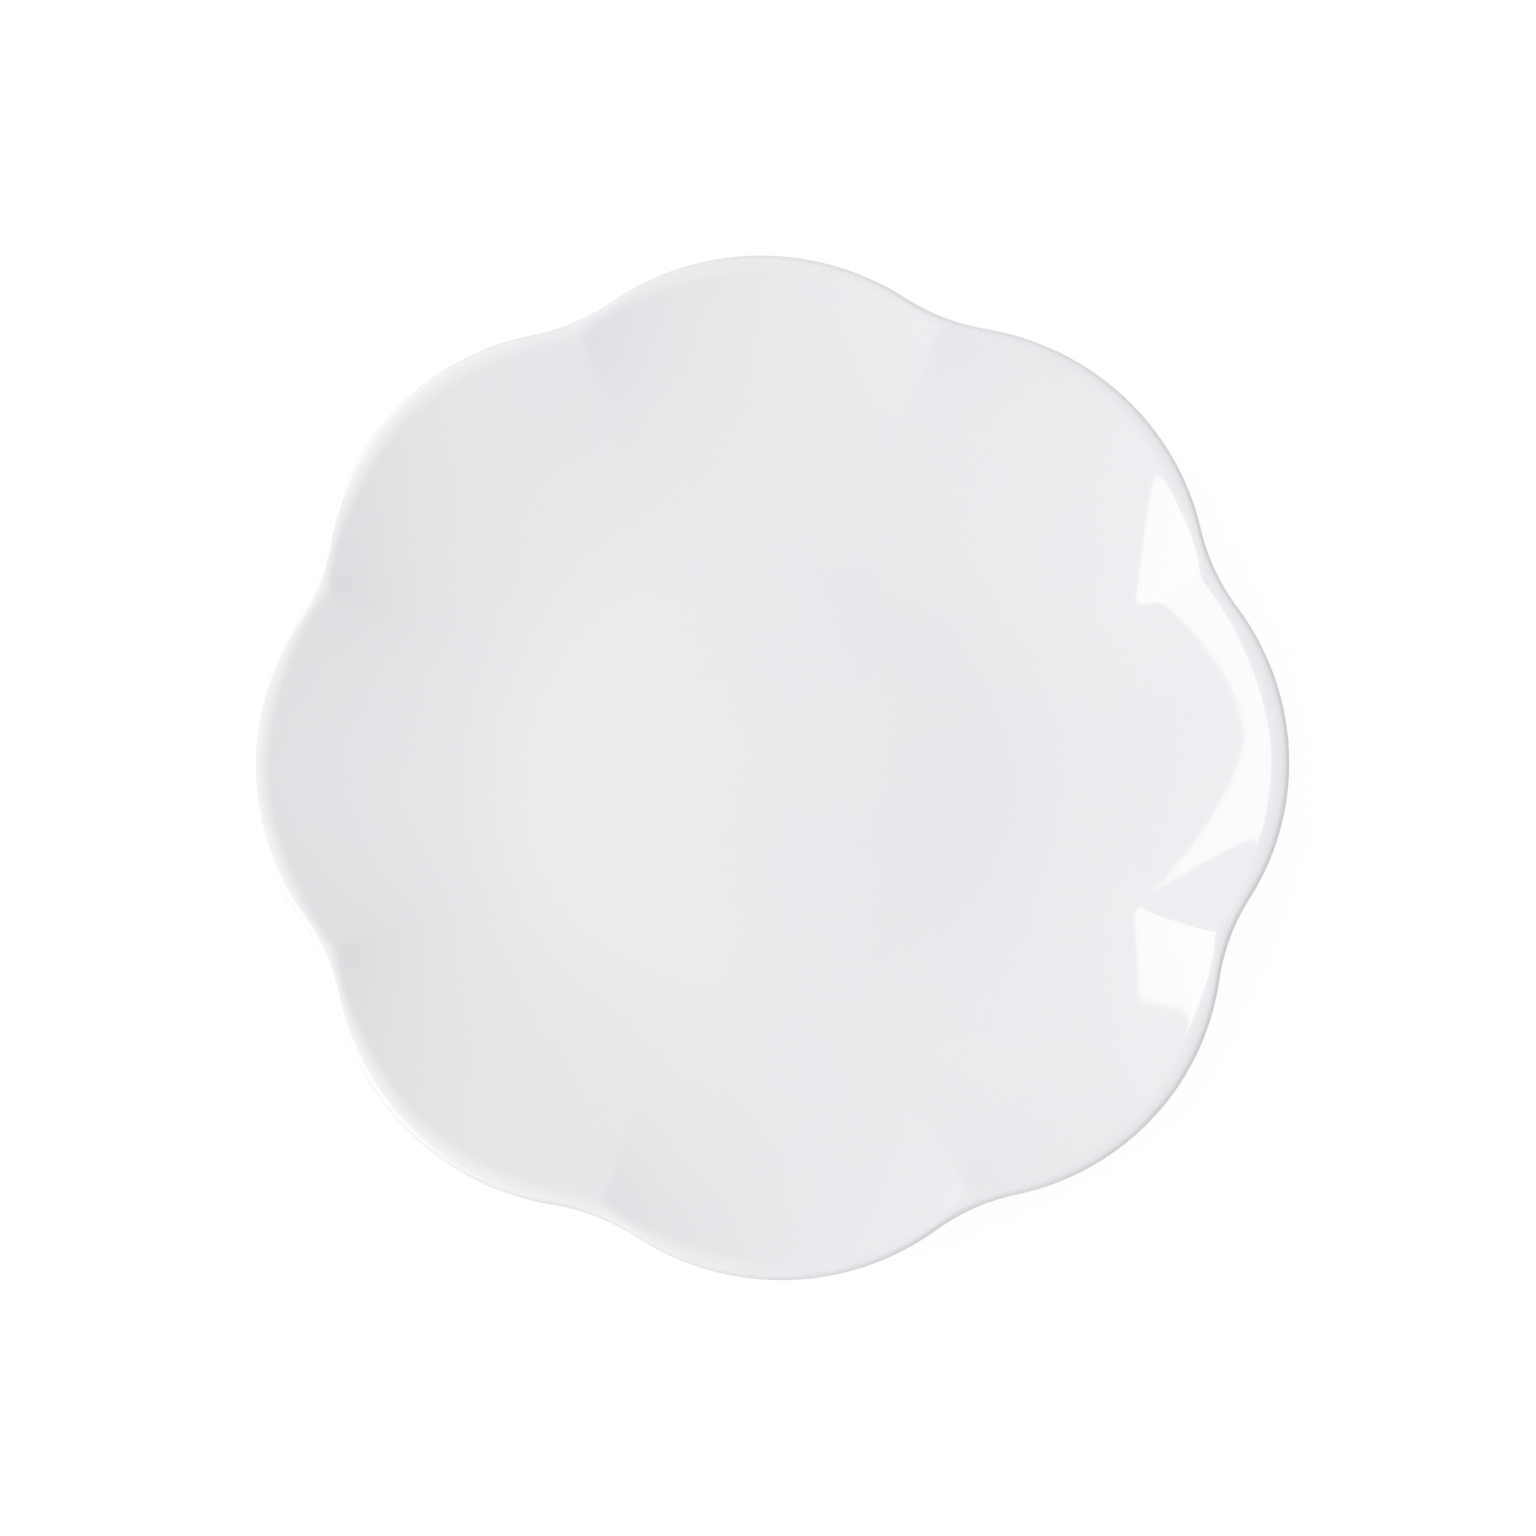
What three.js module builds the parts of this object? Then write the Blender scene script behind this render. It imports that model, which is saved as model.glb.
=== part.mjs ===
// Eight-petal dessert plate in white porcelain: a clay body with a foot ring, a coat of glaze over the face,
// the lip and the back, and a second panel of glaze inside the foot ring.
// Millimetres, +Z up. The plate stands on z = 0, its axis is x = y = 0, and one petal points along +X.
import * as THREE from "three";
import { mergeVertices } from "three/addons/utils/BufferGeometryUtils.js";

// Outline of the edge, seen from above: equal petal arcs, with a hollow arc in each notch between two.
const PETALS = 8;
const PETAL_CENTRE = 47; // axis to the centre of a petal's arc
const PETAL_RADIUS = 48;
const NOTCH_RADIUS = 39;

// Face, cut along the middle of a petal: flat well, a bend into the wall, then the wall up to the lip.
const FLOOR_RADIUS = 38.5;
const BEND_RADIUS = 84;
const BEND_ANGLE = 12.8; // slope of the wall where the bend ends, in degrees
const WALL_RADIUS = 170;

// Ridges on the face between the petals: they rise out of the wall and run up to the notches.
const RIDGE_START = 59; // radius where the wall stops being round
const RIDGE_GROWTH = 1.6; // above 1, so that a ridge begins softly, along the wall and across a petal
const RIDGE_ROUND = 0.025; // share of half a petal
const RIDGE_EASE = 0.1; // how gently its growth ends at the lip, as a share of its depth

// Lip: a broad shoulder on the face, and a small round on the outer edge.
const SHOULDER_RADIUS = 5.6;
const EDGE_RADIUS = 1.1;

// Underside: foot ring, bare at its tread, and the base that it lifts off the table.
const FLOOR_THICKNESS = 4;
const BASE_HEIGHT = 2.8; // hollow inside the ring
const FOOT_RADIUS = 53; // middle of the tread
const FOOT_TREAD = 2.4; // width of the flat
const FOOT_ROUND = 0.8;
const FOOT_DRAFT = 12; // lean of the ring's two sides, in degrees
const FOOT_BARE = 1.6; // height wiped free of glaze
const FOOT_COVE = 2.5; // hollow between the ring and the back of the wall
const BACK_ANGLE = 15; // slope of the back where it meets that hollow, in degrees

const GLAZE = 0.35;

// Facets: steps around half a petal, closer towards the notch, and steps along each stretch of the section.
const HALF_PETAL_STEPS = 5;
const STEP_CROWDING = 1.6;
const STEPS = { bend: 2, wall: 6, shoulder: 2, edge: 2, back: 5, cove: 2, round: 2 };

const RIGHT_ANGLE = Math.PI / 2;
const HALF_PETAL = Math.PI / PETALS;
const TIP_RADIUS = PETAL_CENTRE + PETAL_RADIUS;
const FLOOR_HEIGHT = BASE_HEIGHT + FLOOR_THICKNESS;

const { degToRad, lerp, smoothstep } = THREE.MathUtils;

// A point of the section, by its distance from the plate's axis and its height.
const point = (r, z) => new THREE.Vector2(r, z);
const direction = (angle) => point(Math.cos(angle), Math.sin(angle));
const away = (from, angle, distance) => from.clone().addScaledVector(direction(angle), distance);

// An arc of the section from one direction to another, seen from its centre. Where an arc hollows a surface
// from above, the surface has a slope of `angle` in the direction `angle` less a right angle.
function arc(centre, radius, from, to) {
  return new THREE.EllipseCurve(centre.x, centre.y, radius, radius, from, to, to < from);
}

// Samples curves that run on into each other, as points of a section with the direction that faces out.
// A plain section is round. Where the plate has petals, its level curves dip inwards between them, and each
// point also has its share of the ridges' sharp dip and of the outline's soft one.
function section(stretches, dipsAt = () => ({ ridge: 0, outline: 0 })) {
  const stations = [];
  for (const [curve, steps] of stretches) {
    for (let i = stations.length ? 1 : 0; i <= steps; i++) {
      const at = curve.getPoint(i / steps);
      const tangent = curve.getTangent(i / steps);
      stations.push({ at, out: point(-tangent.y, tangent.x), ...dipsAt(at.x) });
    }
  }
  return stations;
}

// The same section a distance further out, parallel to it.
function parallel(stations, distance) {
  return stations.map((station) => ({
    ...station,
    at: station.at.clone().addScaledVector(station.out, distance),
  }));
}

// Arcs of the face and the lip, finished and cut along the middle of a petal.
const bendEnd = degToRad(BEND_ANGLE);
const bendCentre = point(FLOOR_RADIUS, FLOOR_HEIGHT + BEND_RADIUS);
const wallCentre = away(bendCentre, bendEnd - RIGHT_ANGLE, BEND_RADIUS - WALL_RADIUS);
// The wall runs on until it is tangent to the shoulder, which ends level above the centre of the edge round.
const edgeReach = TIP_RADIUS - EDGE_RADIUS;
const wallEnd = Math.asin((edgeReach - wallCentre.x) / (WALL_RADIUS + SHOULDER_RADIUS));
const shoulderCentre = away(wallCentre, wallEnd - RIGHT_ANGLE, WALL_RADIUS + SHOULDER_RADIUS);
const edgeCentre = point(edgeReach, shoulderCentre.y + SHOULDER_RADIUS - EDGE_RADIUS);
const lipStart = wallCentre.x + WALL_RADIUS * Math.sin(wallEnd);

// Foot ring: the edges of its tread, and the directions that its outer and inner side face.
const draft = degToRad(FOOT_DRAFT);
const treadOuter = FOOT_RADIUS + FOOT_TREAD / 2;
const treadInner = FOOT_RADIUS - FOOT_TREAD / 2;
const outerSide = -draft;
const innerSide = draft - Math.PI;
const outerRound = point(treadOuter, FOOT_ROUND);
const innerRound = point(treadInner, FOOT_ROUND);

// Points where a side of the foot ring leaves its tread round, and where it reaches the glaze line.
function footSide(round, side) {
  const start = away(round, side, FOOT_ROUND);
  const rise = FOOT_BARE - start.y;
  const lean = rise * Math.tan(draft) * Math.sign(round.x - FOOT_RADIUS);
  return [start, point(start.x + lean, FOOT_BARE)];
}
const [outerStart, outerLine] = footSide(outerRound, outerSide);
const [innerStart, innerLine] = footSide(innerRound, innerSide);

// Back of the wall, from under the edge to the hollow beside the foot ring.
const backAngle = degToRad(BACK_ANGLE);
const backStart = away(edgeCentre, wallEnd - RIGHT_ANGLE, EDGE_RADIUS);
const coveCentre = away(outerLine, outerSide, FOOT_COVE + GLAZE);
const coveTop = backAngle + RIGHT_ANGLE;
const backEnd = away(coveCentre, coveTop, FOOT_COVE);
const backPull = backStart.distanceTo(backEnd) / 3;
const backCurve = new THREE.CubicBezierCurve(
  backStart,
  away(backStart, wallEnd, -backPull),
  away(backEnd, backAngle, backPull),
  backEnd,
);

// Shares of the two dips where the section is this far out. Up the wall the ridges grow to their full depth,
// and over the lip they give way to the outline's petals. The back has no ridges: from the edge to the foot
// ring its petals fade out.
const growth = (r, start, end) => (Math.max(r - start, 0) / (end - start)) ** RIDGE_GROWTH;
function faceDips(r) {
  const grown = growth(r, RIDGE_START, lipStart);
  const eased = (grown + Math.hypot(1, RIDGE_EASE) - Math.hypot(grown - 1, RIDGE_EASE)) / 2;
  const overLip = smoothstep(r, lipStart, TIP_RADIUS);
  return { ridge: eased * (1 - overLip), outline: overLip };
}
const backDips = (r) => ({ ridge: 0, outline: growth(r, backEnd.x, TIP_RADIUS) });

const face = section(
  [
    [new THREE.LineCurve(point(0, FLOOR_HEIGHT), point(FLOOR_RADIUS, FLOOR_HEIGHT)), 1],
    [arc(bendCentre, BEND_RADIUS, -RIGHT_ANGLE, bendEnd - RIGHT_ANGLE), STEPS.bend],
    [arc(wallCentre, WALL_RADIUS, bendEnd - RIGHT_ANGLE, wallEnd - RIGHT_ANGLE), STEPS.wall],
    [arc(shoulderCentre, SHOULDER_RADIUS, wallEnd + RIGHT_ANGLE, RIGHT_ANGLE), STEPS.shoulder],
    [arc(edgeCentre, EDGE_RADIUS, RIGHT_ANGLE, 0), STEPS.edge],
  ],
  faceDips,
);
const back = section(
  [
    [arc(edgeCentre, EDGE_RADIUS, 0, wallEnd - RIGHT_ANGLE), STEPS.edge],
    [backCurve, STEPS.back],
    [arc(coveCentre, FOOT_COVE, coveTop, outerSide + Math.PI), STEPS.cove],
  ],
  backDips,
);

// Bare foot ring: down its outer side, across the tread and up its inner side.
const foot = section([
  [new THREE.LineCurve(outerLine, outerStart), 1],
  [arc(outerRound, FOOT_ROUND, outerSide, -RIGHT_ANGLE), STEPS.round],
  [new THREE.LineCurve(point(treadOuter, 0), point(treadInner, 0)), 1],
  [arc(innerRound, FOOT_ROUND, -RIGHT_ANGLE, innerSide), STEPS.round],
  [new THREE.LineCurve(innerStart, innerLine), 1],
]);

// Underside of the base, hollowed out of the ring's inner side, then flat to the axis.
const baseCove = (BASE_HEIGHT - FOOT_BARE) / (1 - Math.sin(draft));
const baseCoveCentre = away(innerLine, innerSide, baseCove);
const base = section([
  [arc(baseCoveCentre, baseCove, draft, RIGHT_ANGLE), STEPS.cove],
  [new THREE.LineCurve(point(baseCoveCentre.x, BASE_HEIGHT), point(0, BASE_HEIGHT)), 1],
]);

// Distance from the axis to the near (-1) or far (+1) side of a circle, at an angle to its centre.
function toCircle(side, centre, radius, angle) {
  return centre * Math.cos(angle) + side * Math.sqrt(radius ** 2 - (centre * Math.sin(angle)) ** 2);
}

// How far the outline dips inside the circle of the petals' tips, at an angle from the line between two
// petals: to the notch's arc, whose centre lies outside on that line or, past where the two touch, to the
// petal's arc.
const petalAlong = PETAL_CENTRE * Math.cos(HALF_PETAL);
const petalAcross = PETAL_CENTRE * Math.sin(HALF_PETAL);
const notchCentre = petalAlong + Math.sqrt((PETAL_RADIUS + NOTCH_RADIUS) ** 2 - petalAcross ** 2);
const notchShare = NOTCH_RADIUS / (PETAL_RADIUS + NOTCH_RADIUS);
const touch = Math.atan2(petalAcross * notchShare, lerp(notchCentre, petalAlong, notchShare));
function outlineDip(fromRidge) {
  if (fromRidge < touch) {
    return TIP_RADIUS - toCircle(-1, notchCentre, NOTCH_RADIUS, fromRidge);
  }
  return TIP_RADIUS - toCircle(1, PETAL_CENTRE, PETAL_RADIUS, HALF_PETAL - fromRidge);
}

// A ridge is as deep as the notch that it runs up to, and only as round as its own small round.
function ridgeDip(fromRidge) {
  const widest = Math.hypot(1, RIDGE_ROUND);
  const across = (widest - Math.hypot(fromRidge / HALF_PETAL, RIDGE_ROUND)) / (widest - RIDGE_ROUND);
  return outlineDip(0) * across ** RIDGE_GROWTH;
}

// Directions round the plate, the same for every ring, with the two dips in each.
const directions = [];
for (let petal = 0; petal < PETALS; petal++) {
  for (let i = 1 - HALF_PETAL_STEPS; i <= HALF_PETAL_STEPS; i++) {
    const fromRidge = HALF_PETAL * (1 - Math.abs(i) / HALF_PETAL_STEPS) ** STEP_CROWDING;
    directions.push({
      angle: petal * 2 * HALF_PETAL + Math.sign(i) * (HALF_PETAL - fromRidge),
      ridgeDip: ridgeDip(fromRidge),
      outlineDip: outlineDip(fromRidge),
    });
  }
}

function rings(stations) {
  return stations.map(({ at, ridge, outline }) =>
    directions.map((way) => {
      const radius = at.x - ridge * way.ridgeDip - outline * way.outlineDip;
      return new THREE.Vector3(radius * Math.cos(way.angle), radius * Math.sin(way.angle), at.y);
    }),
  );
}

// Triangles between neighbouring rings, facing out of the clay, or into it when turned.
function skin(skinRings, turned = false) {
  const triangles = [];
  const add = (a, b, c) => {
    if (!a.equals(b) && !b.equals(c) && !c.equals(a)) {
      triangles.push(...(turned ? [a, c, b] : [a, b, c]));
    }
  };
  for (let i = 0; i + 1 < skinRings.length; i++) {
    const [ring, next] = [skinRings[i], skinRings[i + 1]];
    directions.forEach((_, j) => {
      const k = (j + 1) % directions.length;
      add(ring[j], next[j], next[k]);
      add(ring[j], next[k], ring[k]);
    });
  }
  return triangles;
}

function mesh(name, triangles, material) {
  const geometry = mergeVertices(new THREE.BufferGeometry().setFromPoints(triangles));
  geometry.computeVertexNormals();
  const made = new THREE.Mesh(geometry, material);
  made.name = name;
  return made;
}

const finished = [...face, ...back.slice(1)];
const faceCoat = rings(finished);
const faceClay = rings(parallel(finished, -GLAZE));
const footClay = rings(foot);
const baseClay = rings(base);
const baseCoat = rings(parallel(base, GLAZE));

const glazed = { roughness: 0.06, metalness: 0 };
const plate = new THREE.Group();
plate.add(
  mesh(
    "porcelain_body",
    skin([...faceClay, ...footClay.slice(1), ...baseClay.slice(1)]),
    new THREE.MeshStandardMaterial({ color: "#f1efea", roughness: 0.75, metalness: 0 }),
  ),
  mesh(
    "face_glaze",
    [...skin([...faceCoat, faceClay.at(-1)]), ...skin(faceClay, true)],
    new THREE.MeshStandardMaterial({ color: "#eef0f1", ...glazed }),
  ),
  mesh(
    "base_glaze",
    [...skin(baseClay, true), ...skin([baseClay[0], ...baseCoat])],
    new THREE.MeshStandardMaterial({ color: "#eef0f1", ...glazed }),
  ),
);

export default plate;
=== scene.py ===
# %% [markdown]
# # An eight-petal porcelain plate
#
# A dessert plate in white porcelain: a flat round well, a wall that opens into eight petals, and a soft lip.
# Almost everything that the eye reads here is form and gloss: there is no print, no colour and no texture to
# lean on. So the lesson spends its effort on a smooth surface, on the light that it mirrors, and on a glaze
# that is white without being a flat colour.

# %% Load the frame
import math

import bpy
import numpy as np
from mathutils import Matrix, Vector


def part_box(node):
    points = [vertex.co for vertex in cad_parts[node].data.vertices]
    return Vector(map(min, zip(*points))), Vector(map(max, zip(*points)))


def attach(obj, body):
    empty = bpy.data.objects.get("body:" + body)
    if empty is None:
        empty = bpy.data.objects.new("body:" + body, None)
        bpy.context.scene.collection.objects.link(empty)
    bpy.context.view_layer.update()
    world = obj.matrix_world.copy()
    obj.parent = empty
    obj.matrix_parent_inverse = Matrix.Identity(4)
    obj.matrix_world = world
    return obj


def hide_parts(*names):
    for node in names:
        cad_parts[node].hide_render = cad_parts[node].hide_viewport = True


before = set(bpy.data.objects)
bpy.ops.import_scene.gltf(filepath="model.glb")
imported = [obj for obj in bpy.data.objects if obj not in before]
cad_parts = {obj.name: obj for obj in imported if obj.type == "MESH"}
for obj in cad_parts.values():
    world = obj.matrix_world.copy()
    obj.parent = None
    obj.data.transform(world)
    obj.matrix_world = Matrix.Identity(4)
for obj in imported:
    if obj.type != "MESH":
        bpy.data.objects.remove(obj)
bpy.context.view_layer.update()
MM = 0.001  # in Blender's metres

# %% [markdown]
# ## The camera
#
# The plate is seen from a little in front of straight above, with a long lens, so its far and near petals are
# almost the same size. The tilt follows from how much the outline is squeezed, and the distance from how much
# the near petals outgrow the far ones. The camera looks at a point of the rim's plane, close to its centre.

# %% Camera
CAMERA_TILT = math.radians(10.83)  # away from straight above
CAMERA_TURN = math.radians(249.97)  # where the camera stands round the plate, from +X
CAMERA_ROLL = math.radians(1.70)
CAMERA_DISTANCE = 1263.6 * MM
CAMERA_LENS = 162.3  # in millimetres, as the sensor's width is
CAMERA_SENSOR = 36.0
AIM_RIGHT = -0.75 * MM  # from the rim's centre to the middle of the picture
AIM_UP = -1.25 * MM
RIM_HEIGHT = 20.1 * MM  # where the lip is widest

towards_camera = Vector((
    math.sin(CAMERA_TILT) * math.cos(CAMERA_TURN),
    math.sin(CAMERA_TILT) * math.sin(CAMERA_TURN),
    math.cos(CAMERA_TILT),
))
right = Vector((0, 1, 0)).cross(towards_camera).normalized()
axes = Matrix((right, towards_camera.cross(right), towards_camera)).transposed()
axes = axes @ Matrix.Rotation(-CAMERA_ROLL, 3, "Z")
aim = Vector((0, 0, RIM_HEIGHT)) + axes @ Vector((AIM_RIGHT, AIM_UP, 0))

camera_data = bpy.data.cameras.new("photo_camera")
camera_data.lens = CAMERA_LENS
camera_data.sensor_width = CAMERA_SENSOR
camera = bpy.data.objects.new("photo_camera", camera_data)
camera.matrix_world = Matrix.Translation(aim + towards_camera * CAMERA_DISTANCE) @ axes.to_4x4()
bpy.context.scene.collection.objects.link(camera)
bpy.context.scene.camera = camera
print("camera at", [round(v, 3) for v in camera.location])

# %% [markdown]
# ## The section
#
# A potter would cut this plate in half to show it: one line gives the floor, the bend, the wall, the lip,
# the back and the foot ring. Here that line is a chain of arcs, straight stretches and one free curve, in
# millimetres, along the middle of a petal. Each point also keeps the direction that faces out of the
# porcelain, so that a coat of glaze can be laid on it at an even thickness. A turned profile with a modifier
# would be quicker, but it can't open into petals.

# %% Section helpers
RIGHT_ANGLE = math.pi / 2


def ray(angle):
    """The unit vector at an angle."""
    return np.array([math.cos(angle), math.sin(angle)])


def arc(centre, radius, start, end, steps):
    """Points of an arc and the directions to the left of the way it runs."""
    angles = np.linspace(start, end, steps + 1)
    rays = np.column_stack([np.cos(angles), np.sin(angles)])
    return np.hstack([centre + radius * rays, -np.sign(end - start) * rays])


def line(start, end, steps):
    """Points of a straight stretch and the directions to its left."""
    along = np.subtract(end, start) / np.linalg.norm(np.subtract(end, start))
    points = np.linspace(start, end, steps + 1)
    return np.hstack([points, np.tile([-along[1], along[0]], (steps + 1, 1))])


def bezier(p0, p1, p2, p3, steps):
    """Points of a free curve with two pulls and the directions to its left."""
    t = np.linspace(0, 1, steps + 1)[:, None]
    points = (1 - t) ** 3 * p0 + 3 * (1 - t) ** 2 * t * p1 + 3 * (1 - t) * t**2 * p2 + t**3 * p3
    along = (1 - t) ** 2 * (p1 - p0) + 2 * (1 - t) * t * (p2 - p1) + t**2 * (p3 - p2)
    along /= np.linalg.norm(along, axis=1, keepdims=True)
    return np.hstack([points, -along[:, 1:], along[:, :1]])


def chain(*stretches):
    """Stretches that run on into each other, without the points that they share."""
    return np.vstack([stretches[0], *(s[1:] for s in stretches[1:])])


# %% Face and lip
FLOOR_RADIUS = 38.5
FLOOR_HEIGHT = 6.8
BEND_RADIUS = 84.0
BEND_ANGLE = math.radians(12.8)
WALL_RADIUS = 170.0
SHOULDER_RADIUS = 5.6
EDGE_RADIUS = 1.1

tip_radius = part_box("face_glaze")[1].x / MM
bend_centre = np.array([FLOOR_RADIUS, FLOOR_HEIGHT + BEND_RADIUS])
wall_centre = bend_centre + (BEND_RADIUS - WALL_RADIUS) * ray(BEND_ANGLE - RIGHT_ANGLE)
edge_reach = tip_radius - EDGE_RADIUS
wall_end = math.asin((edge_reach - wall_centre[0]) / (WALL_RADIUS + SHOULDER_RADIUS))
shoulder_centre = wall_centre + (WALL_RADIUS + SHOULDER_RADIUS) * ray(wall_end - RIGHT_ANGLE)
edge_centre = shoulder_centre + np.array([0, SHOULDER_RADIUS - EDGE_RADIUS])
lip_start = wall_centre[0] + WALL_RADIUS * math.sin(wall_end)


def face_section(steps):
    """The face from the axis over the lip to its widest point, in so many steps for each stretch."""
    return chain(
        line((0, FLOOR_HEIGHT), (FLOOR_RADIUS, FLOOR_HEIGHT), steps["floor"]),
        arc(bend_centre, BEND_RADIUS, -RIGHT_ANGLE, BEND_ANGLE - RIGHT_ANGLE, steps["bend"]),
        arc(wall_centre, WALL_RADIUS, BEND_ANGLE - RIGHT_ANGLE, wall_end - RIGHT_ANGLE, steps["wall"]),
        arc(shoulder_centre, SHOULDER_RADIUS, wall_end + RIGHT_ANGLE, RIGHT_ANGLE, steps["shoulder"]),
        arc(edge_centre, EDGE_RADIUS, RIGHT_ANGLE, 0, steps["edge"]),
    )


print("lip from", round(lip_start, 2), "to", tip_radius, "crest at", round(edge_centre[1] + EDGE_RADIUS, 2))

# %% Back
GLAZE = 0.35
FOOT_RADIUS = 53.0
FOOT_TREAD = 2.4
FOOT_ROUND = 0.8
FOOT_DRAFT = math.radians(12)
FOOT_BARE = 1.6  # up to where its sides are wiped bare
FOOT_COVE = 2.5
BACK_ANGLE = math.radians(15)


def foot_side(outwards):
    """Centre of a tread round, the direction that its side faces, and where that side meets the glaze."""
    centre = np.array([FOOT_RADIUS + outwards * FOOT_TREAD / 2, FOOT_ROUND])
    side = -FOOT_DRAFT if outwards > 0 else FOOT_DRAFT - math.pi
    start = centre + FOOT_ROUND * ray(side)
    lean = outwards * (FOOT_BARE - start[1]) * math.tan(FOOT_DRAFT)
    return centre, side, start, np.array([start[0] + lean, FOOT_BARE])


outer_round, outer_side, outer_start, outer_line = foot_side(1)
inner_round, inner_side, inner_start, inner_line = foot_side(-1)
back_start = edge_centre + EDGE_RADIUS * ray(wall_end - RIGHT_ANGLE)
cove_centre = outer_line + (FOOT_COVE + GLAZE) * ray(outer_side)
cove_top = BACK_ANGLE + RIGHT_ANGLE
back_end = cove_centre + FOOT_COVE * ray(cove_top)
back_pull = np.linalg.norm(back_start - back_end) / 3


def back_section(steps):
    """The underside from the lip's widest point to the glaze line on the foot ring."""
    return chain(
        arc(edge_centre, EDGE_RADIUS, 0, wall_end - RIGHT_ANGLE, steps["edge"]),
        bezier(
            back_start,
            back_start - back_pull * ray(wall_end),
            back_end + back_pull * ray(BACK_ANGLE),
            back_end,
            steps["back"],
        ),
        arc(cove_centre, FOOT_COVE, cove_top, outer_side + math.pi, steps["cove"]),
    )


print("back from", np.round(back_start, 1), "to the foot at", np.round(back_end, 1))

# %% Foot ring and base
BASE_HEIGHT = 2.8

base_cove = (BASE_HEIGHT - FOOT_BARE) / (1 - math.sin(FOOT_DRAFT))
base_cove_centre = inner_line + base_cove * ray(inner_side)


def foot_section(steps):
    """The bare tread, from the glaze line on its outside to the one inside."""
    return chain(
        line(outer_line, outer_start, steps["side"]),
        arc(outer_round, FOOT_ROUND, outer_side, -RIGHT_ANGLE, steps["round"]),
        line(outer_round - [0, FOOT_ROUND], inner_round - [0, FOOT_ROUND], steps["tread"]),
        arc(inner_round, FOOT_ROUND, -RIGHT_ANGLE, inner_side, steps["round"]),
        line(inner_start, inner_line, steps["side"]),
    )


def base_section(steps):
    """The panel inside the foot ring, from its glaze line to the axis."""
    return chain(
        arc(base_cove_centre, base_cove, FOOT_DRAFT, RIGHT_ANGLE, steps["cove"]),
        line((base_cove_centre[0], BASE_HEIGHT), (0, BASE_HEIGHT), steps["floor"]),
    )


print("foot ring from", round(inner_line[0], 1), "to", round(outer_line[0], 1), "mm")

# %% [markdown]
# ## The petals
#
# Seen from above, the rim is a ring of eight equal arcs that meet in eight round notches. Down the face each
# notch closes up to a narrow ridge, which dies out before it reaches the well. So every level curve of the
# wall is a circle that dips inwards between the petals: at the rim by the outline's own soft dip, and on the
# face by a sharper one, which grows from nothing to the same depth. This is the feature of the plate that
# takes most care. Sculpted ridges would wander, while two short formulas keep all eight alike and every
# highlight on them clean.

# %% Directions
PETALS = 8
HALF_PETAL = math.pi / PETALS
DIRECTIONS = 32  # to half a petal
CROWDING = 1.9  # above 1, the directions draw together at the ridges

from_middle = np.arange(1 - DIRECTIONS, DIRECTIONS + 1)
from_ridge = HALF_PETAL * (1 - np.abs(from_middle) / DIRECTIONS) ** CROWDING
middles = np.arange(PETALS)[:, None] * 2 * HALF_PETAL
angle = (middles + np.sign(from_middle) * (HALF_PETAL - from_ridge)).ravel()
from_ridge = np.tile(from_ridge, PETALS)
print(len(angle), "directions round the plate")

# %% Petal curves
PETAL_CENTRE = 47.0  # axis to the centre of a petal's arc
NOTCH_RADIUS = 39.0
RIDGE_START = 59.0  # where the wall stops being round
RIDGE_GROWTH = 1.6  # how softly a ridge begins, both along the wall and across a petal
RIDGE_ROUND = 0.025  # of half a petal
RIDGE_EASE = 0.1  # how gently a ridge stops growing at the lip, of its depth


def to_circle(side, centre, radius, turned):
    """Distance from the axis to the near (-1) or far (1) side of a circle, at an angle to its centre."""
    return centre * np.cos(turned) + side * np.sqrt(np.maximum(radius**2 - (centre * np.sin(turned)) ** 2, 0))


petal_radius = tip_radius - PETAL_CENTRE
along, across = PETAL_CENTRE * ray(HALF_PETAL)
notch_centre = along + math.sqrt((petal_radius + NOTCH_RADIUS) ** 2 - across**2)
notch_share = NOTCH_RADIUS / (petal_radius + NOTCH_RADIUS)
touch = math.atan2(across * notch_share, notch_centre + (along - notch_centre) * notch_share)
outline = np.where(
    from_ridge < touch,
    to_circle(-1, notch_centre, NOTCH_RADIUS, from_ridge),
    to_circle(1, PETAL_CENTRE, petal_radius, HALF_PETAL - from_ridge),
)
outline_dip = tip_radius - outline

widest = math.hypot(1, RIDGE_ROUND)
across_petal = (widest - np.hypot(from_ridge / HALF_PETAL, RIDGE_ROUND)) / (widest - RIDGE_ROUND)
ridge_dip = outline_dip.max() * across_petal**RIDGE_GROWTH
print("notches", round(outline_dip.max(), 2), "mm deep")

# %% Rings


def growth(reach, start, end):
    """How far a dip has grown that begins softly at one reach and is full at another."""
    return (np.maximum(reach - start, 0) / (end - start)) ** RIDGE_GROWTH


def rings(section, ridge, soft, out=0.0):
    """A ring of points for each point of a section, with a share of the two dips, a distance further out."""
    reach, height, out_r, out_z = section.T[:, :, None]
    radius = reach + out * out_r - ridge[:, None] * ridge_dip - soft[:, None] * outline_dip
    level = np.broadcast_to(height + out * out_z, radius.shape)
    return list(np.stack([radius * np.cos(angle), radius * np.sin(angle), level], axis=-1))


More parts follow.
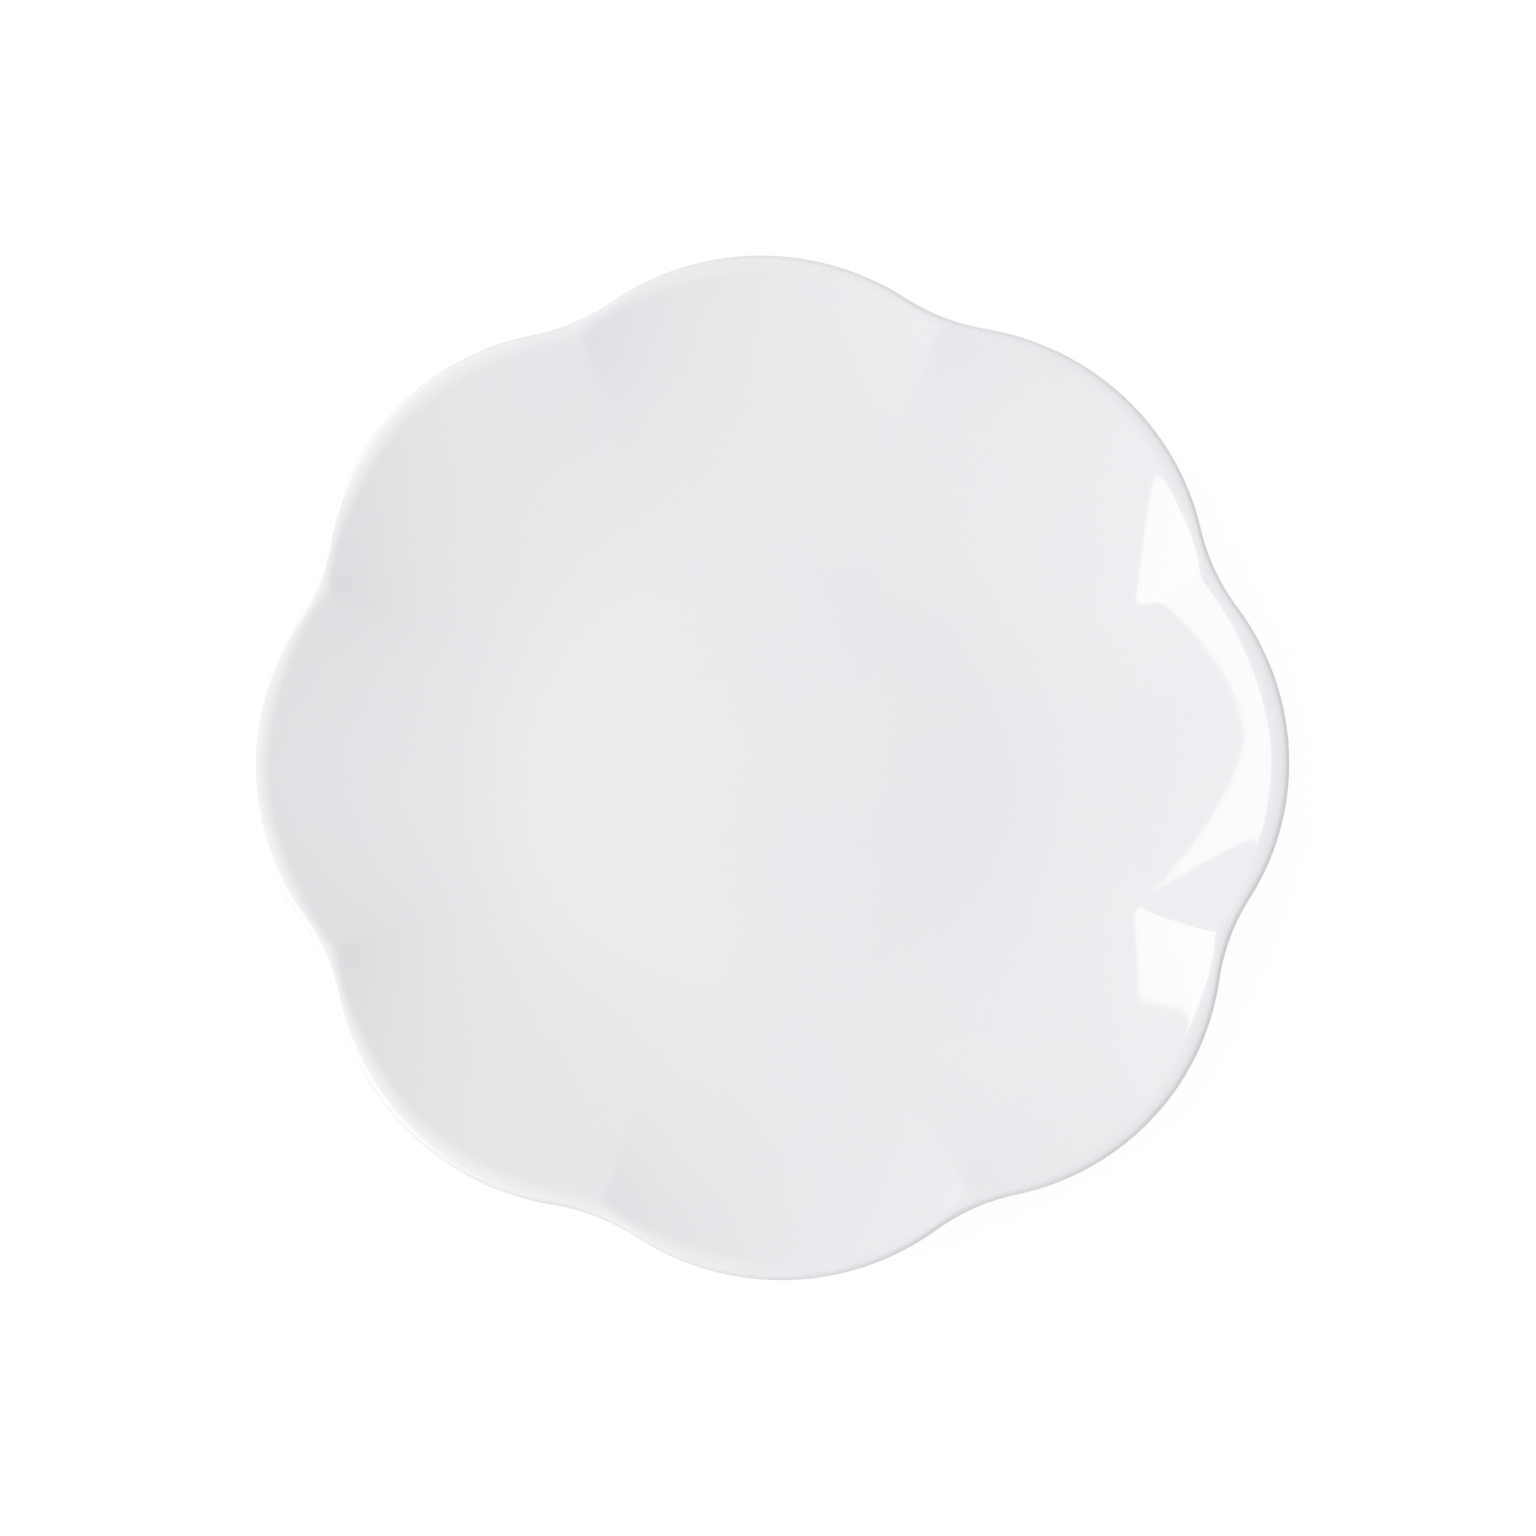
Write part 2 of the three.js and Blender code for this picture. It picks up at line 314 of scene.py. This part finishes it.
def face_rings(section, out=0.0):
    """Rings of the face, where the ridges grow up the wall and turn into the outline across the lip."""
    grown = growth(section[:, 0], RIDGE_START, lip_start)
    eased = (grown + math.hypot(1, RIDGE_EASE) - np.hypot(grown - 1, RIDGE_EASE)) / 2
    across_lip = np.clip((section[:, 0] - lip_start) / (tip_radius - lip_start), 0, 1)
    over_lip = across_lip**2 * (3 - 2 * across_lip)
    return rings(section, eased * (1 - over_lip), over_lip, out)


def back_rings(section, out=0.0):
    """Rings of the back, where the outline grows from the foot ring to the lip."""
    grown = growth(section[:, 0], back_end[0], tip_radius)
    return rings(section, 0 * grown, grown, out)


def round_rings(section, out=0.0):
    """Rings of the foot and the base, which are round."""
    none = np.zeros(len(section))
    return rings(section, none, none, out)


# %% [markdown]
# ## The three pieces
#
# The fired clay, the glaze over face and back, and the panel of glaze inside the foot ring are each a closed
# skin: a list of rings that begins and ends on the axis. A Solidify modifier could give the glaze its
# thickness, but here each coat shares its inner rings with the clay, so that the two meet exactly. The rings
# of the outside are close together, because gloss shows every flat, and those inside are fewer.

# %% Loft helper
SHARP = math.radians(40)


def loft(name, ring_list):
    """A closed mesh through rings that start and end on the axis."""
    corners = np.concatenate([ring_list[0][:1], *ring_list[1:-1], ring_list[-1][:1]]) * MM
    here = np.arange(len(angle))
    there = np.roll(here, -1)
    first = 1 + len(angle) * np.arange(len(ring_list) - 2)
    end = len(corners) - 1
    faces = [(0, a, b) for a, b in zip((first[0] + here).tolist(), (first[0] + there).tolist())]
    for ring, following in zip(first[:-1], first[1:]):
        faces += np.column_stack([ring + here, following + here, following + there, ring + there]).tolist()
    faces += [(a, end, b) for a, b in zip((first[-1] + here).tolist(), (first[-1] + there).tolist())]
    mesh = bpy.data.meshes.new(name)
    mesh.from_pydata(corners.tolist(), [], faces)
    mesh.shade_smooth()
    mesh.set_sharp_from_angle(angle=SHARP)
    piece = bpy.data.objects.new(name, mesh)
    bpy.context.scene.collection.objects.link(piece)
    print(name, len(corners), "points,", len(faces), "faces")
    return piece


# %% Loft the pieces
OUTSIDE = {"floor": 6, "bend": 12, "wall": 48, "shoulder": 14, "edge": 10, "back": 16, "cove": 8}
INSIDE = {"floor": 1, "bend": 3, "wall": 10, "shoulder": 4, "edge": 3, "back": 6, "cove": 3}
TREAD = {"side": 2, "round": 6, "tread": 3}

coat = face_rings(face_section(OUTSIDE)) + back_rings(back_section(OUTSIDE))[1:]
clay = face_rings(face_section(INSIDE), -GLAZE) + back_rings(back_section(INSIDE), -GLAZE)[1:]
tread = round_rings(foot_section(TREAD))
base_clay = round_rings(base_section(OUTSIDE))
base_coat = round_rings(base_section(OUTSIDE), GLAZE)

porcelain_body = loft("bare_porcelain_body", clay + tread[1:] + base_clay[1:])
face_glaze = loft("face_and_back_glaze", coat + clay[::-1])
base_glaze = loft("foot_panel_glaze", base_clay[::-1] + base_coat)

# %% [markdown]
# ## Node helpers
#
# Colours are written as sRGB hex, as a colour picker shows them, and turned to the linear values that shaders
# work with. One function adds a node, with its settings and what goes into its sockets.

# %% Colour and nodes


def linear(hex_colour):
    """An sRGB hex colour as linear red, green, blue and full alpha."""
    channels = [int(hex_colour[i : i + 2], 16) / 255 for i in (1, 3, 5)]
    return (*(c / 12.92 if c <= 0.04045 else ((c + 0.055) / 1.055) ** 2.4 for c in channels), 1.0)


def add_node(tree, kind, inputs=None, **settings):
    """A node of a tree. An input is a value, or the socket that feeds it."""
    made = tree.nodes.new(kind)
    for name, value in settings.items():
        setattr(made, name, value)
    for name, value in (inputs or {}).items():
        if isinstance(value, bpy.types.NodeSocket):
            tree.links.new(value, made.inputs[name])
        else:
            made.inputs[name].default_value = value
    return made


def new_material(name):
    material = bpy.data.materials.new(name)
    material.use_nodes = True
    material.node_tree.nodes.clear()
    return material, material.node_tree


# %% [markdown]
# ## Glazed porcelain
#
# Porcelain glaze is a third of a millimetre of clear glass, melted on to white clay. The eye gets two things
# from it: a soft white from the clay below, and a faint, sharp mirror from the surface, which reflects about
# a twentieth of what it faces. It flows as it melts, so it lies a little thicker in some places than others:
# the white drifts by a hair between warm and cool, and the surface keeps a slow, very shallow wave. Clear
# glass over a separate clay would be slow to render, and the Principled shader has the same two layers: a
# matt base under a mirror.

# %% Glazed porcelain
GLAZE_IOR = 1.54
GLAZE_WHITE = "#e6e7ea"
GLAZE_COOL = "#e3e5e9"
GLAZE_SMOOTH = 0.03
GLAZE_SOFT = 0.06  # the roughness where it lies thick
GLAZE_DRIFT = 30 * MM  # from a thicker to a thinner place
GLAZE_WAVE = 9 * MM
WAVE_HEIGHT = 0.004 * MM
NOISE_LOW = 0.3  # most of a noise lies between these two
NOISE_HIGH = 0.7

glazed_porcelain, tree = new_material("glazed_porcelain")
place = add_node(tree, "ShaderNodeTexCoord").outputs["Object"]
drift = add_node(tree, "ShaderNodeTexNoise", {"Vector": place, "Scale": 1 / GLAZE_DRIFT, "Detail": 2.0})
white = add_node(
    tree,
    "ShaderNodeMix",
    {"Factor": drift.outputs["Fac"], "A": linear(GLAZE_WHITE), "B": linear(GLAZE_COOL)},
    data_type="RGBA",
)
gloss = add_node(
    tree,
    "ShaderNodeMapRange",
    {
        "Value": drift.outputs["Fac"],
        "From Min": NOISE_LOW,
        "From Max": NOISE_HIGH,
        "To Min": GLAZE_SMOOTH,
        "To Max": GLAZE_SOFT,
    },
)
wave = add_node(tree, "ShaderNodeTexNoise", {"Vector": place, "Scale": 1 / GLAZE_WAVE, "Detail": 1.0})
bump = add_node(
    tree,
    "ShaderNodeBump",
    {"Height": wave.outputs["Fac"], "Strength": 1.0, "Distance": WAVE_HEIGHT},
)
glass = add_node(
    tree,
    "ShaderNodeBsdfPrincipled",
    {
        "Base Color": white.outputs["Result"],
        "Roughness": gloss.outputs["Result"],
        "IOR": GLAZE_IOR,
        "Normal": bump.outputs["Normal"],
    },
)
add_node(tree, "ShaderNodeOutputMaterial", {"Surface": glass.outputs["BSDF"]})
print("the glaze mirrors", round(((GLAZE_IOR - 1) / (GLAZE_IOR + 1)) ** 2, 3), "of what is straight above it")

# %% [markdown]
# ## Bare porcelain
#
# The tread of the foot ring is wiped before the firing, so that it doesn't melt on to the shelf of the kiln.
# It shows the clay itself: dense, matt and a touch warmer than the glaze, with a fine grit that catches grey
# from the tables it has stood on. Two noises give the grit and the worn patches. They have no seam, as a
# picture that is wrapped round the ring would have.

# %% Bare porcelain
CLAY_WHITE = "#e8e3da"
CLAY_WORN = "#cfcac2"
CLAY_ROUGH = 0.8
CLAY_IOR = 1.5
GRIT = 0.25 * MM  # coarser than the real grit, which is too fine to show
GRIT_HEIGHT = 0.05 * MM
GRIT_STRENGTH = 0.6
SCUFF = 6 * MM
SCUFF_START = 0.5  # of the noise, where wear begins to show
SCUFF_END = 0.75
SCUFF_MOST = 0.5  # of the worn colour

bare_porcelain, tree = new_material("bare_porcelain")
place = add_node(tree, "ShaderNodeTexCoord").outputs["Object"]
grit = add_node(tree, "ShaderNodeTexNoise", {"Vector": place, "Scale": 1 / GRIT, "Detail": 3.0})
scuff = add_node(tree, "ShaderNodeTexNoise", {"Vector": place, "Scale": 1 / SCUFF, "Detail": 5.0})
worn = add_node(
    tree,
    "ShaderNodeMapRange",
    {
        "Value": scuff.outputs["Fac"],
        "From Min": SCUFF_START,
        "From Max": SCUFF_END,
        "To Min": 0.0,
        "To Max": SCUFF_MOST,
    },
)
clay_colour = add_node(
    tree,
    "ShaderNodeMix",
    {"Factor": worn.outputs["Result"], "A": linear(CLAY_WHITE), "B": linear(CLAY_WORN)},
    data_type="RGBA",
)
grain = add_node(
    tree,
    "ShaderNodeBump",
    {"Height": grit.outputs["Fac"], "Strength": GRIT_STRENGTH, "Distance": GRIT_HEIGHT},
)
biscuit = add_node(
    tree,
    "ShaderNodeBsdfPrincipled",
    {
        "Base Color": clay_colour.outputs["Result"],
        "Roughness": CLAY_ROUGH,
        "IOR": CLAY_IOR,
        "Normal": grain.outputs["Normal"],
    },
)
add_node(tree, "ShaderNodeOutputMaterial", {"Surface": biscuit.outputs["BSDF"]})
print("bare clay", CLAY_WHITE, "worn to", CLAY_WORN, "in patches of", SCUFF / MM, "mm")

# %% [markdown]
# ## Dressing
#
# Each piece gets its material, moves with the plate, and takes the place of the plainer solid of its name.

# %% Dress the pieces
for piece, material, node, slot in (
    (porcelain_body, bare_porcelain, "porcelain_body", "bare_porcelain"),
    (face_glaze, glazed_porcelain, "face_glaze", "white_glaze"),
    (base_glaze, glazed_porcelain, "base_glaze", "white_glaze"),
):
    piece.data.materials.append(material)
    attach(piece, "root")
    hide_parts(node)
    print(piece.name, "stands for", node)

# %% [markdown]
# ## The soft box
#
# One large soft box hangs to the left of the plate, tilted a little. Its mirror image gives the bright
# patches on the right-hand petals: their long inner border is the edge of the box that is nearest to the
# plate, and the straight lower ends of two of them are its edge at the back. So the box was placed from
# those borders. A lamp of any other shape would light the plate as well, but its reflection would give it
# away.

# %% Soft box
BOX_CENTRE = (-0.707, -0.116, 0.619)  # in metres, as its size is
BOX_TURN = (math.radians(-11.0), math.radians(15.0), math.radians(-19.6))
BOX_SIZE = (0.75, 1.0)
BOX_BRIGHT = 2.49  # its face, where 1 is white
BOX_COLOUR = "#fffbf4"

box_data = bpy.data.lights.new("soft_box", "AREA")
box_data.shape = "RECTANGLE"
box_data.size, box_data.size_y = BOX_SIZE
box_data.energy = BOX_BRIGHT * math.pi * BOX_SIZE[0] * BOX_SIZE[1]
box_data.color = linear(BOX_COLOUR)[:3]
soft_box = bpy.data.objects.new("soft_box", box_data)
soft_box.location = BOX_CENTRE
soft_box.rotation_euler = BOX_TURN
bpy.context.scene.collection.objects.link(soft_box)
print("soft box of", BOX_SIZE, "m,", round(box_data.energy, 2), "W")

# %% [markdown]
# ## The room and the table
#
# The room is brighter on the left than on the right, which turns the wall of the plate slowly from light to
# dark. The table gives some of its white back to the lip and the underside. What the camera and the gloss see
# of both is plain white, and the table keeps a faint shadow. A brighter lamp could make them white as well,
# but it would wash out the plate.

# %% What shows directly


def shown_directly(tree):
    """1 for what the camera, a gloss or clear glass shows, and 0 for light on its way to a matt surface."""
    path = add_node(tree, "ShaderNodeLightPath").outputs
    mirrored = add_node(
        tree,
        "ShaderNodeMath",
        {0: path["Is Glossy Ray"], 1: path["Is Transmission Ray"]},
        operation="MAXIMUM",
    )
    shown = add_node(
        tree,
        "ShaderNodeMath",
        {0: path["Is Camera Ray"], 1: mirrored.outputs["Value"]},
        operation="MAXIMUM",
    )
    return shown.outputs["Value"]


# %% Room
ROOM_LEFT = 1.095  # its light on the plate
ROOM_RIGHT = 0.58
ROOM_SHOWN = 1.0  # its white, where it shows directly
ROOM_COLOUR = "#ffffff"

room = bpy.data.worlds.new("white_room")
room.use_nodes = True
bpy.context.scene.world = room
tree = room.node_tree
tree.nodes.clear()
direction = add_node(tree, "ShaderNodeTexCoord").outputs["Generated"]
sideways = add_node(tree, "ShaderNodeSeparateXYZ", {"Vector": direction}).outputs["X"]
light = add_node(
    tree,
    "ShaderNodeMapRange",
    {"Value": sideways, "From Min": -1.0, "To Min": ROOM_LEFT, "To Max": ROOM_RIGHT},
)
strength = add_node(
    tree,
    "ShaderNodeMix",
    {"Factor": shown_directly(tree), "A": light.outputs["Result"], "B": ROOM_SHOWN},
    data_type="FLOAT",
)
walls = add_node(
    tree,
    "ShaderNodeBackground",
    {"Color": linear(ROOM_COLOUR), "Strength": strength.outputs["Result"]},
)
add_node(tree, "ShaderNodeOutputWorld", {"Surface": walls.outputs["Background"]})
print("room from", ROOM_LEFT, "at the left to", ROOM_RIGHT, "at the right")

# %% Table
TABLE_SIZE = 6.0  # in metres
TABLE_BELOW = 0.05 * MM  # a hair under the tread, so that the two faces stay apart
TABLE_WHITE = "#d0d0d0"  # what it gives back of the light on it
TABLE_SHADED = "#595959"  # how much of its light and shade shows
TABLE_GLOW = 0.93  # what shows besides

table_white, tree = new_material("white_table")
matt = add_node(tree, "ShaderNodeBsdfDiffuse", {"Color": linear(TABLE_WHITE)})
shaded = add_node(tree, "ShaderNodeBsdfDiffuse", {"Color": linear(TABLE_SHADED)})
glow = add_node(tree, "ShaderNodeEmission", {"Strength": TABLE_GLOW})
shown = add_node(tree, "ShaderNodeAddShader", {0: shaded.outputs["BSDF"], 1: glow.outputs["Emission"]})
top = add_node(
    tree,
    "ShaderNodeMixShader",
    {0: shown_directly(tree), 1: matt.outputs["BSDF"], 2: shown.outputs["Shader"]},
)
add_node(tree, "ShaderNodeOutputMaterial", {"Surface": top.outputs["Shader"]})

half = TABLE_SIZE / 2
table_mesh = bpy.data.meshes.new("table")
corners = [(-half, -half, 0), (half, -half, 0), (half, half, 0), (-half, half, 0)]
table_mesh.from_pydata(corners, [], [range(len(corners))])
table_mesh.materials.append(table_white)
table = bpy.data.objects.new("table", table_mesh)
table.location.z = -TABLE_BELOW
bpy.context.scene.collection.objects.link(table)
print("table of", TABLE_SIZE, "m")

# %% [markdown]
# ## The picture
#
# Light that grazes the hollow wall skips along it several times before it leaves. With the usual few mirror
# bounces it gets lost on the way, and a thin dark line runs along the ridges. A few more bounces turn that
# line into the gleam that it is on glazed porcelain.

# %% Bounces and colours
MIRROR_BOUNCES = 16
ALL_BOUNCES = 24

scene = bpy.context.scene
scene.cycles.glossy_bounces = MIRROR_BOUNCES
scene.cycles.max_bounces = ALL_BOUNCES
scene.view_settings.view_transform = "Standard"
print("light may be mirrored", MIRROR_BOUNCES, "times")
